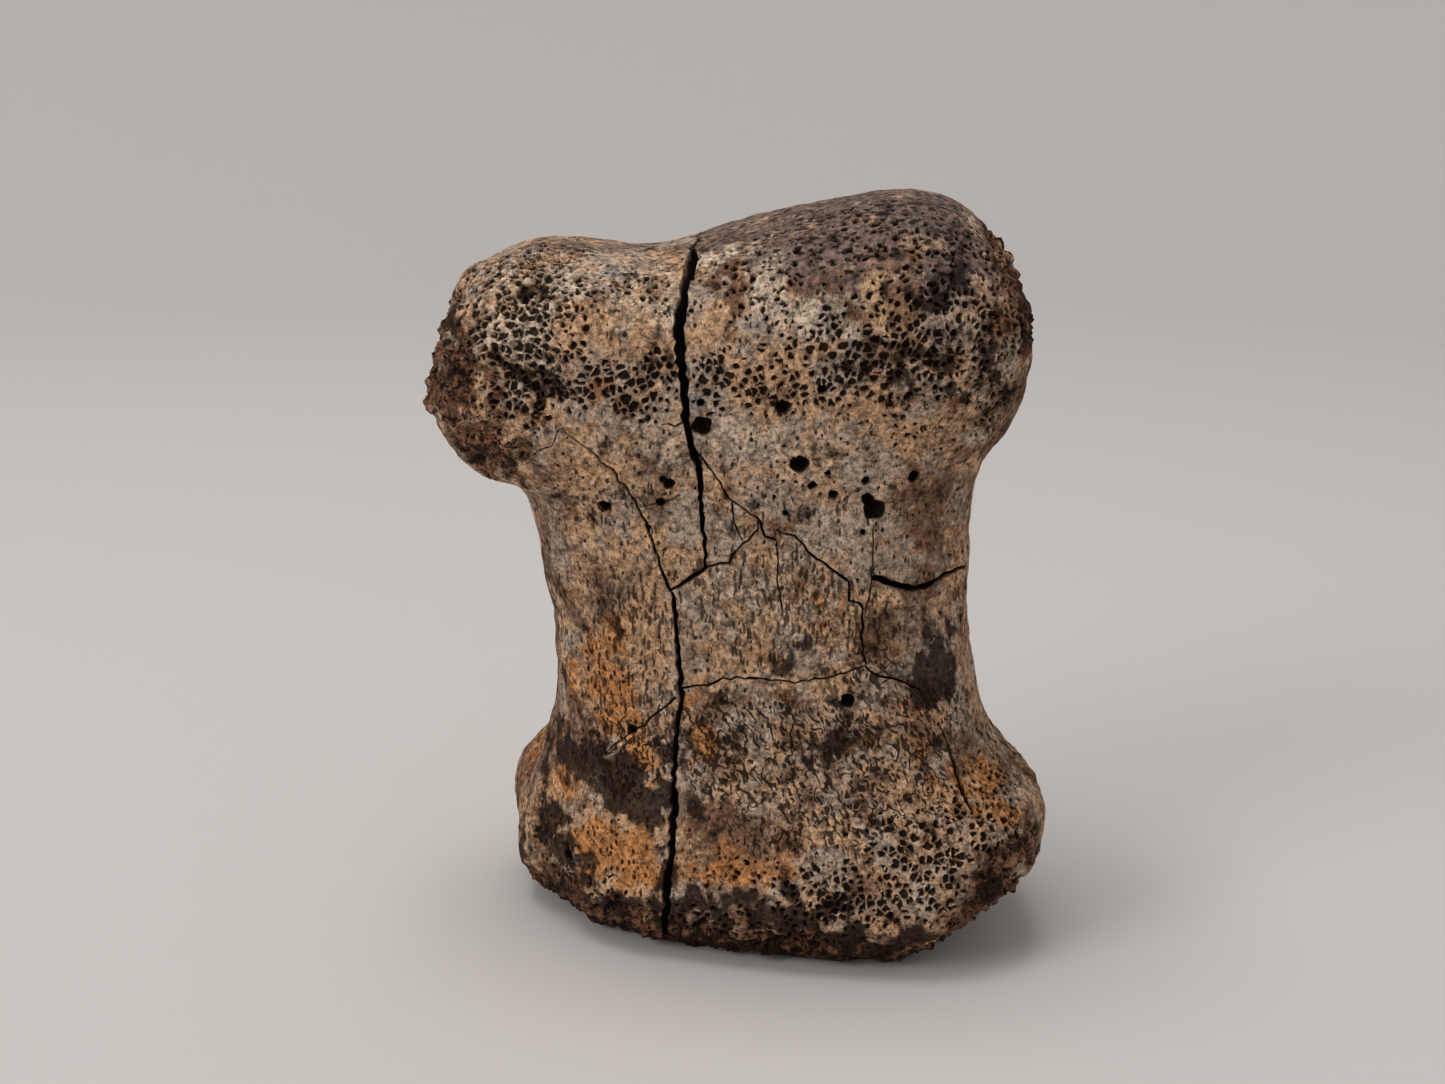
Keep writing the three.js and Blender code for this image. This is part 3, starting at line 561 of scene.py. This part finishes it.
def wedge(side, depth, widths, course):
    """The closed wedge that cuts one crack; its two edges wander apart as broken bone does."""
    course = np.array(course, float)
    run = np.r_[0, np.cumsum(np.linalg.norm(np.diff(course, axis=0), axis=1))]
    steps = max(3, round(run[-1] / CRACK_STEP))
    along = np.linspace(0, run[-1], steps + 1)
    spots = np.stack([np.interp(along, run, course[:, i]) for i in (0, 1)], axis=1)
    spots[1:-1] += chance.normal(0, CRACK_WANDER, (steps - 1, 2))
    met = [on_bone(side, *spot) for spot in spots]
    places = np.array([place for place, normal in met])
    facing = soften(np.array([normal for place, normal in met]), 4)
    facing /= np.linalg.norm(facing, axis=1)[:, None]
    seen = 2 if side == "top" else 1
    places[:, seen] = soften(places[:, seen:seen + 1], 2)[:, 0]
    across = np.cross(np.gradient(places, axis=0), facing)
    across /= np.linalg.norm(across, axis=1)[:, None]
    width = np.interp(along, np.linspace(0, run[-1], len(widths)), widths)[:, None] + CRACK_EXTRA
    left, right = (width * chance.uniform(0.34, 0.66, (steps + 1, 1)) for edge in range(2))
    outer, inner = places + facing * CRACK_CLEAR, places - facing * depth
    rings = np.stack((outer - across * left, outer + across * right, inner + across * right * 0.3,
                      inner - across * left * 0.3), axis=1)
    faces = [(0, 1, 2, 3), tuple(4 * steps + i for i in (3, 2, 1, 0))]
    for ring in range(steps):
        for i in range(4):
            a, b = 4 * ring + i, 4 * ring + (i + 1) % 4
            faces.append((a, a + 4, b + 4, b))
    made = bpy.data.meshes.new("crack")
    made.from_pydata((rings.reshape(-1, 3) / 1000).tolist(), [], faces)
    return made


def cone(first, second, radius):
    """The blunt, uneven cone that cuts one vessel hole."""
    place, normal = on_bone("front", first, second)
    bpy.ops.mesh.primitive_ico_sphere_add(subdivisions=3, radius=1)
    ball = bpy.context.object
    made = ball.data
    bpy.data.objects.remove(ball)
    for vertex in made.vertices:
        uneven = 1.1 + 0.3 * noise.noise(vertex.co * 1.3 + Vector((first, second, 0)))
        vertex.co = vertex.co * uneven * radius / 1000
        vertex.co.z *= 1.7 + 0.8 / radius
    turned = normal.lerp(Vector((0, -1, 0)), 0.5).to_track_quat("Z", "Y").to_matrix().to_4x4()
    made.transform(Matrix.Translation(place / 1000) @ turned)
    return made


def combine(thing, other, operation):
    """Joins or cuts a mesh with another, which is then removed."""
    step = thing.modifiers.new(operation.lower(), "BOOLEAN")
    step.object = other
    step.operation = operation
    step.solver = "MANIFOLD"
    with bpy.context.temp_override(object=thing, active_object=thing):
        bpy.ops.object.modifier_apply(modifier=step.name)
    bpy.data.objects.remove(other)


cutters = []
for made in [wedge(*crack) for crack in CRACKS] + [cone(*hole) for hole in HOLES]:
    cutter = bpy.data.objects.new("cutter", made)
    bpy.context.collection.objects.link(cutter)
    bpy.ops.object.select_all(action="DESELECT")
    cutter.select_set(True)
    bpy.context.view_layer.objects.active = cutter
    bpy.ops.object.mode_set(mode="EDIT")
    bpy.ops.mesh.select_all(action="SELECT")
    bpy.ops.mesh.normals_make_consistent(inside=False)
    bpy.ops.object.mode_set(mode="OBJECT")
    cutters.append(cutter)
for cutter in cutters[1:]:
    combine(cutters[0], cutter, "UNION")

whole = bone.data.copy()
skin = BVHTree.FromPolygons(
    [vertex.co for vertex in whole.vertices], [face.vertices for face in whole.polygons]
)
combine(bone, cutters[0], "DIFFERENCE")
mesh = bone.data

# The new walls get the place that they had in the whole bone, and gap says how deep they lie under its skin.
block, rest, spots = read(mesh, "block"), read(mesh, "rest"), read(mesh, "position")
known_block, known_rest, known_spots = read(whole, "block"), read(whole, "rest"), read(whole, "position")
gap = np.zeros(len(spots))
for i in np.flatnonzero(np.abs(block).max(axis=1) < 0.99):
    place, normal, face, depth = skin.find_nearest(Vector(spots[i]))
    corners = list(whole.polygons[face].vertices)
    shares = np.array(poly_3d_calc([whole.vertices[corner].co for corner in corners], place))
    block[i] = shares @ known_block[corners]
    rest[i] = shares @ known_rest[corners] + spots[i] - shares @ known_spots[corners]
    gap[i] = depth
write(mesh, "block", block)
write(mesh, "rest", rest)
write(mesh, "gap", gap)
mark(mesh, rest * 1000)
bpy.data.meshes.remove(whole)

# A map of the six sides of the block that the bone was drawn from, for finishes that have to be painted on.
# Each side: the axis it faces, its two other axes, and its left, bottom, width and height on the map.
SIDES = (
    (1, -1, 0, 2, 0.0, 0.0, 0.5, 0.43), (1, 1, 0, 2, 0.5, 0.0, 0.5, 0.43),
    (2, 1, 0, 1, 0.0, 0.43, 0.5, 0.285), (2, -1, 0, 1, 0.0, 0.715, 0.5, 0.285),
    (0, -1, 1, 2, 0.5, 0.43, 0.25, 0.57), (0, 1, 1, 2, 0.75, 0.43, 0.25, 0.57),
)
MAP_MARGIN = 0.006
loops = np.empty(len(mesh.loops), np.int32)
mesh.loops.foreach_get("vertex_index", loops)
starts = np.empty(len(mesh.polygons), np.int32)
mesh.polygons.foreach_get("loop_start", starts)
counts = np.diff(np.append(starts, len(loops)))
middles = np.add.reduceat(block[loops], starts) / counts[:, None]
flat = np.empty((len(loops), 2), np.float32)
facing = np.argmax(np.abs(middles), axis=1)
toward = np.sign(middles[np.arange(len(middles)), facing])
for axis, sign, first, second, left, bottom, wide, tall in SIDES:
    here = np.repeat((facing == axis) & (toward == sign), counts)
    for column, (part, origin, size) in enumerate(((first, left, wide), (second, bottom, tall))):
        share = (np.clip(block[loops[here], part], -1, 1) + 1) / 2
        flat[here, column] = origin + MAP_MARGIN + share * (size - 2 * MAP_MARGIN)
mesh.uv_layers.new(name="OFBake").data.foreach_set("uv", flat.ravel())

bpy.ops.object.select_all(action="DESELECT")
bone.select_set(True)
bpy.context.view_layer.objects.active = bone
bpy.ops.object.shade_smooth_by_angle(angle=math.radians(50))
mesh = bone.data
mesh.transform(Matrix.Translation(TO_ORIGIN / 1000))

# Mineralised bone
# Bone that ground water turned to stone. It is matt like unglazed clay, and iron and manganese stained it
# tan, orange, brown and nearly black. Its pores, grooves and cracks still hold dark sediment, and the shade
# in them is painted in the same dark colour.
# Brown and dark also colour the painted shade down the flanks and round the base.
STAINS_AND_SHADE = (
    ("tan", "#c49c79"), ("brown", "#6f503d"), ("pale", "#cdb8a2"), ("slate", "#8b8681"),
    ("orange", "#bc7f4a"), ("cap", "#6f5b55"), ("crust", "#6b4734"), ("dark", "#261913"),
)
GREY_BONE, TAN_BONE, BROWN_BONE, SEDIMENT_AND_SHADE = "#b09b89", "#c19c7b", "#6a4b35", "#1d0f09"


def colour(text):
    """A linear colour for an sRGB hex value."""
    parts = [int(text[i:i + 2], 16) / 255 for i in (1, 3, 5)]
    return (*[part / 12.92 if part <= 0.04045 else ((part + 0.055) / 1.055) ** 2.4 for part in parts], 1)


mineralised_bone = bpy.data.materials.new("mineralised_bone")
mineralised_bone.use_nodes = True
tree = mineralised_bone.node_tree
shader = tree.nodes["Principled BSDF"]
rest = add(tree, "ShaderNodeAttribute", {}, "Vector", attribute_name="rest")
shown = {name: add(tree, "ShaderNodeAttribute", {}, "Fac", attribute_name=name) for name in MARKS + ("gap",)}

# The stains and the patches of painted shade lie over a ground that wanders between grey, tan and brown.
# Noises break up their edges, and the dark one settled in the hollows between low knobs about 2 mm across.
knobs = add(tree, "ShaderNodeVectorMath", {0: rest, 1: (1, 1, 0.75)}, operation="MULTIPLY")
knobs = add(tree, "ShaderNodeTexNoise", {"Vector": knobs, "Scale": 620, "Detail": 2, "Roughness": 0.45})
ground = {"Vector": rest, "Scale": 170, "Detail": 4, "Roughness": 0.56}
ground = add(tree, "ShaderNodeTexNoise", ground, "Color")
ground = add(tree, "ShaderNodeSeparateColor", {0: ground}).node.outputs
share = add(tree, "ShaderNodeMapRange", {0: ground[0], 1: 0.44, 2: 0.56}, **SOFT)
tint = {0: share, 6: colour(GREY_BONE), 7: colour(TAN_BONE)}
tint = add(tree, "ShaderNodeMix", tint, 2, data_type="RGBA")
share = add(tree, "ShaderNodeMapRange", {0: ground[1], 1: 0.52, 2: 0.64, 3: 0, 4: 0.7}, **SOFT)
tint = add(tree, "ShaderNodeMix", {0: share, 6: tint, 7: colour(BROWN_BONE)}, 2, data_type="RGBA")
edges = {"Vector": rest, "Scale": 230, "Detail": 6, "Roughness": 0.74}
edges = add(tree, "ShaderNodeTexNoise", edges, "Color")
edges = add(tree, "ShaderNodeSeparateColor", {0: edges}).node.outputs
edges = [add(tree, "ShaderNodeMath", {0: edges[i], 1: 4}, operation="MULTIPLY") for i in range(3)]
low_edge = add(tree, "ShaderNodeMath", {0: edges[1], 1: 1.25}, operation="ADD")
low_edge = add(tree, "ShaderNodeMath", {0: knobs, 1: -2.5, 2: low_edge}, operation="MULTIPLY_ADD")
for order, (name, hex_colour) in enumerate(STAINS_AND_SHADE):
    edge = low_edge if name == "dark" else edges[order % 3]
    edge = add(tree, "ShaderNodeMath", {0: edge, 1: shown[name]}, operation="ADD")
    cover = add(tree, "ShaderNodeMapRange", {0: edge, 1: 2.25, 2: 2.95, 3: 0, 4: 0.9}, **SOFT)
    tint = add(tree, "ShaderNodeMix", {0: cover, 6: tint, 7: colour(hex_colour)}, 2, data_type="RGBA")

# Grains of mineral, 0.3 to 1 mm across, lighten and darken it all, and dark specks of manganese lie on it.
grains = add(tree, "ShaderNodeTexNoise", {"Vector": rest, "Scale": 1500, "Detail": 4, "Roughness": 0.75})
value = add(tree, "ShaderNodeMapRange", {0: grains, 1: 0.36, 2: 0.64, 3: 0.45, 4: 1.75})
# Painted shade and light: the colour darkens in the hollows between the knobs and brightens a little on their
# tops.
painted_knob_shade = add(tree, "ShaderNodeMapRange", {0: knobs, 1: 0.36, 2: 0.56, 3: 0.84, 4: 1.06}, **SOFT)
value = add(tree, "ShaderNodeMath", {0: value, 1: painted_knob_shade}, operation="MULTIPLY")
tint = add(tree, "ShaderNodeHueSaturation", {"Color": tint, "Value": value})
specks = {"Vector": rest, "Scale": 1100, "Detail": 5, "Roughness": 0.8, "Distortion": 0.4}
specks = add(tree, "ShaderNodeTexNoise", specks)
specks = add(tree, "ShaderNodeMath", {0: shown["crust"], 1: 0.035, 2: specks}, operation="MULTIPLY_ADD")
specks = add(tree, "ShaderNodeMapRange", {0: specks, 1: 0.54, 2: 0.6}, **SOFT)


def dashes(tree, place, cell_mm, more, least, most):
    """Short hollows, one to a cell; their half width is a share of the cell, larger with more."""
    cells = add(tree, "ShaderNodeTexVoronoi", {"Vector": place, "Scale": 1000 / cell_mm})
    size = add(tree, "ShaderNodeSeparateColor", {0: cells.node.outputs["Color"]})
    size = add(tree, "ShaderNodeMath", {0: size, 1: more}, operation="ADD")
    size = add(tree, "ShaderNodeMapRange", {0: size, 1: 0, 2: 1, 3: least, 4: most})
    size = add(tree, "ShaderNodeMath", {0: size, 1: 0.5}, operation="MINIMUM")
    depth = add(tree, "ShaderNodeMath", {0: size, 1: cells}, operation="SUBTRACT")
    return add(tree, "ShaderNodeMapRange", {0: depth, 1: 0, 2: 0.06}, **SOFT)


# Fibres along the shaft, as slits up to 0.5 mm wide and 2.2 mm long that wander a little. A few of them show
# everywhere.
FIBRE_MM, FIBRE_SQUEEZE = 0.56, 0.22
bend = add(tree, "ShaderNodeTexNoise", {"Vector": rest, "Scale": 600, "Detail": 1}, "Color")
bend = add(tree, "ShaderNodeVectorMath", {0: bend, 1: (0.5, 0.5, 0.5)}, operation="SUBTRACT")
fibres = add(tree, "ShaderNodeVectorMath", {0: bend, 1: (0.0008,) * 3, 2: rest}, operation="MULTIPLY_ADD")
fibres = add(tree, "ShaderNodeVectorMath", {0: fibres, 1: (1, 1, FIBRE_SQUEEZE)}, operation="MULTIPLY")
along = add(tree, "ShaderNodeMapRange", {0: shown["grain"], 1: 0.1, 2: 0.8, 3: -0.4, 4: 0.5}, **SOFT)
fibres = dashes(tree, fibres, FIBRE_MM, along, 0.0, 0.44)

# Short crooked grooves that blood vessels left, up to 0.6 mm wide and 1.7 mm long, in two layers. Most lean
# to the right on their way down, and a few longer ones wind along broken level lines of a noise.
GROOVE_MM, SECOND_GROOVE_MM = 0.64, 0.7
GROOVE_SQUEEZE = 0.36
GROOVE_LEAN = math.radians(24)
LEVEL_LINE = 0.05
bend = add(tree, "ShaderNodeVectorMath", {0: bend, 1: (0.0016,) * 3, 2: rest}, operation="MULTIPLY_ADD")
bend = add(tree, "ShaderNodeVectorRotate", {"Vector": bend, "Angle": GROOVE_LEAN}, rotation_type="Y_AXIS")
bend = add(tree, "ShaderNodeVectorMath", {0: bend, 1: (1, 1, GROOVE_SQUEEZE)}, operation="MULTIPLY")
short = dashes(tree, bend, GROOVE_MM, 0.0, 0.08, 0.46)
between = add(tree, "ShaderNodeVectorMath", {0: bend, 1: (0.1, 0.2, 0.3)}, operation="ADD")
between = dashes(tree, between, SECOND_GROOVE_MM, 0.0, 0.04, 0.42)
short = add(tree, "ShaderNodeMath", {0: short, 1: between}, operation="MAXIMUM")
level = add(tree, "ShaderNodeTexNoise", {"Vector": bend, "Scale": 800, "Detail": 0})
level = add(tree, "ShaderNodeMath", {0: level, 1: 0.52, 2: LEVEL_LINE}, operation="COMPARE")
broken = {"Vector": bend, "Scale": 950, "Detail": 1, "W": 3}
broken = add(tree, "ShaderNodeTexNoise", broken, noise_dimensions="4D")
broken = add(tree, "ShaderNodeMapRange", {0: broken, 1: 0.45, 2: 0.51}, **SOFT)
level = add(tree, "ShaderNodeMath", {0: level, 1: broken}, operation="MULTIPLY")
crooked = add(tree, "ShaderNodeMath", {0: short, 1: level}, operation="MAXIMUM")
where = add(tree, "ShaderNodeMath", {0: shown["grain"], 1: 0.45, 2: shown["worm"]}, operation="MULTIPLY_ADD")
where = add(tree, "ShaderNodeMapRange", {0: where, 1: 0.15, 2: 0.7}, **SOFT)
crooked = add(tree, "ShaderNodeMath", {0: crooked, 1: where}, operation="MULTIPLY")

# Small pits up to 0.5 mm across, with more of them in orange and pale bone. Those of the joint skin are
# larger, and wider than high.
PIT_MM, SKIN_PIT_MM = 0.8, 0.85
pits = add(tree, "ShaderNodeVectorMath", {0: rest, 1: (1, 1, 0.65)}, operation="MULTIPLY")
more = add(tree, "ShaderNodeMath", {0: shown["pale"], 1: 0.3}, operation="MULTIPLY")
more = add(tree, "ShaderNodeMath", {0: shown["orange"], 1: 0.35, 2: more}, operation="MULTIPLY_ADD")
pits = dashes(tree, pits, PIT_MM, more, -0.32, 0.33)
wide = add(tree, "ShaderNodeVectorMath", {0: rest, 1: (0.6, 1, 1.1)}, operation="MULTIPLY")
more = add(tree, "ShaderNodeMath", {0: shown["cap"], 1: 0.9, 2: -0.5}, operation="MULTIPLY_ADD")
wide = dashes(tree, wide, SKIN_PIT_MM, more, -0.4, 0.42)
pits = add(tree, "ShaderNodeMath", {0: pits, 1: wide}, operation="MAXIMUM")

# All the hollows, with dark sediment in them and painted shade in the same colour; the crack walls darken
# more the deeper they lie under the skin.
pores = open_pores(tree, rest, shown["open"])
cracked = add(tree, "ShaderNodeMapRange", {0: shown["gap"], 1: 0.0001, 2: 0.0009}, **SOFT)
often = add(tree, "ShaderNodeMapRange", {0: shown["crust"], 1: 0.2, 2: 0.8, 3: 0.55, 4: 1}, **SOFT)
sediment_and_shade = add(tree, "ShaderNodeMath", {0: specks, 1: often}, operation="MULTIPLY")
for hollow, strength in ((fibres, 0.8), (crooked, 0.9), (pits, 0.9), (pores, 0.92), (cracked, 0.95)):
    share = add(tree, "ShaderNodeMath", {0: hollow, 1: strength}, operation="MULTIPLY")
    sediment_and_shade = add(tree, "ShaderNodeMath", {0: sediment_and_shade, 1: share}, operation="MAXIMUM")
tint = add(tree, "ShaderNodeMix", {0: sediment_and_shade, 6: tint, 7: colour(SEDIMENT_AND_SHADE)}, 2, data_type="RGBA")

# The same hollows as relief, in metres, on the knobs; the grains stand up a little.
height = add(tree, "ShaderNodeMath", {0: knobs, 1: 0.0011}, operation="MULTIPLY")
height = add(tree, "ShaderNodeMath", {0: grains, 1: 0.0004, 2: height}, operation="MULTIPLY_ADD")
for hollow, depth in ((specks, 0.00008), (fibres, 0.00018), (crooked, 0.00025), (pits, 0.00025)):
    height = add(tree, "ShaderNodeMath", {0: hollow, 1: -depth, 2: height}, operation="MULTIPLY_ADD")
relief = add(tree, "ShaderNodeBump", {"Height": height, "Distance": 1, "Strength": 1})

smooth = add(tree, "ShaderNodeMapRange", {0: shown["cap"], 1: 0.3, 2: 0.9, 3: 0.82, 4: 0.55}, **SOFT)
rough = add(tree, "ShaderNodeMath", {0: sediment_and_shade, 1: 0.2, 2: smooth}, operation="MULTIPLY_ADD")
tree.links.new(tint, shader.inputs["Base Color"])
tree.links.new(rough, shader.inputs["Roughness"])
tree.links.new(relief, shader.inputs["Normal"])
shader.inputs["IOR"].default_value = 1.5
shader.inputs["Specular IOR Level"].default_value = 0.15
bone.data.materials.clear()
bone.data.materials.append(mineralised_bone)

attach(bone, "root")
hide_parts("toe_bone")

# Floor and light
# A round sheet of pale card that curves up into a low wall, lit evenly all round and by a soft lamp overhead.
bpy.ops.object.select_all(action="DESELECT")
bpy.ops.mesh.primitive_circle_add(vertices=128, radius=1.1, fill_type="NGON")
floor = bpy.context.object
floor.name = floor.data.name = "floor"
bpy.ops.object.mode_set(mode="EDIT")
bpy.ops.mesh.select_mode(type="EDGE")
bpy.ops.mesh.select_all(action="SELECT")
bpy.ops.mesh.region_to_loop()
bpy.ops.mesh.extrude_edges_move(TRANSFORM_OT_translate={"value": (0, 0, 0.7)})
bpy.ops.object.mode_set(mode="OBJECT")
for edge in floor.data.edges:
    edge.select = all(floor.data.vertices[i].co.z < 0.1 for i in edge.vertices)
bpy.ops.object.mode_set(mode="EDIT")
bpy.ops.mesh.bevel(offset=0.5, segments=14)
bpy.ops.mesh.select_all(action="SELECT")
bpy.ops.mesh.normals_make_consistent(inside=True)
bpy.ops.object.mode_set(mode="OBJECT")
bpy.ops.object.shade_smooth()
pale_card = bpy.data.materials.new("pale_card")
pale_card.use_nodes = True
card = pale_card.node_tree.nodes["Principled BSDF"]
card.inputs["Base Color"].default_value = colour("#d3d0ce")
card.inputs["Roughness"].default_value = 0.9
floor.data.materials.append(pale_card)

# Each lamp: name, place and size in metres, and power in watts.
LAMPS = (
    ("overhead_lamp", (-0.15, 0.0, 1.1), 0.6, 4.8),
    ("left_front_lamp", (-0.8, -0.6, 0.6), 0.5, 3.6),
)
for name, place, size, power in LAMPS:
    bpy.ops.object.light_add(type="AREA", location=place)
    lamp = bpy.context.object
    lamp.name = name
    lamp.data.size = size
    lamp.data.energy = power
    lamp.data.color = (1.0, 0.975, 0.95)
    lamp.rotation_euler = (Vector((0, 0, 0.05)) - Vector(place)).to_track_quat("-Z", "Y").to_euler()

world = bpy.data.worlds.new("pale_room")
world.use_nodes = True
world.node_tree.nodes["Background"].inputs["Color"].default_value = colour("#efecea")
world.node_tree.nodes["Background"].inputs["Strength"].default_value = 0.48
bpy.context.scene.world = world
bpy.context.scene.view_settings.view_transform = "Standard"
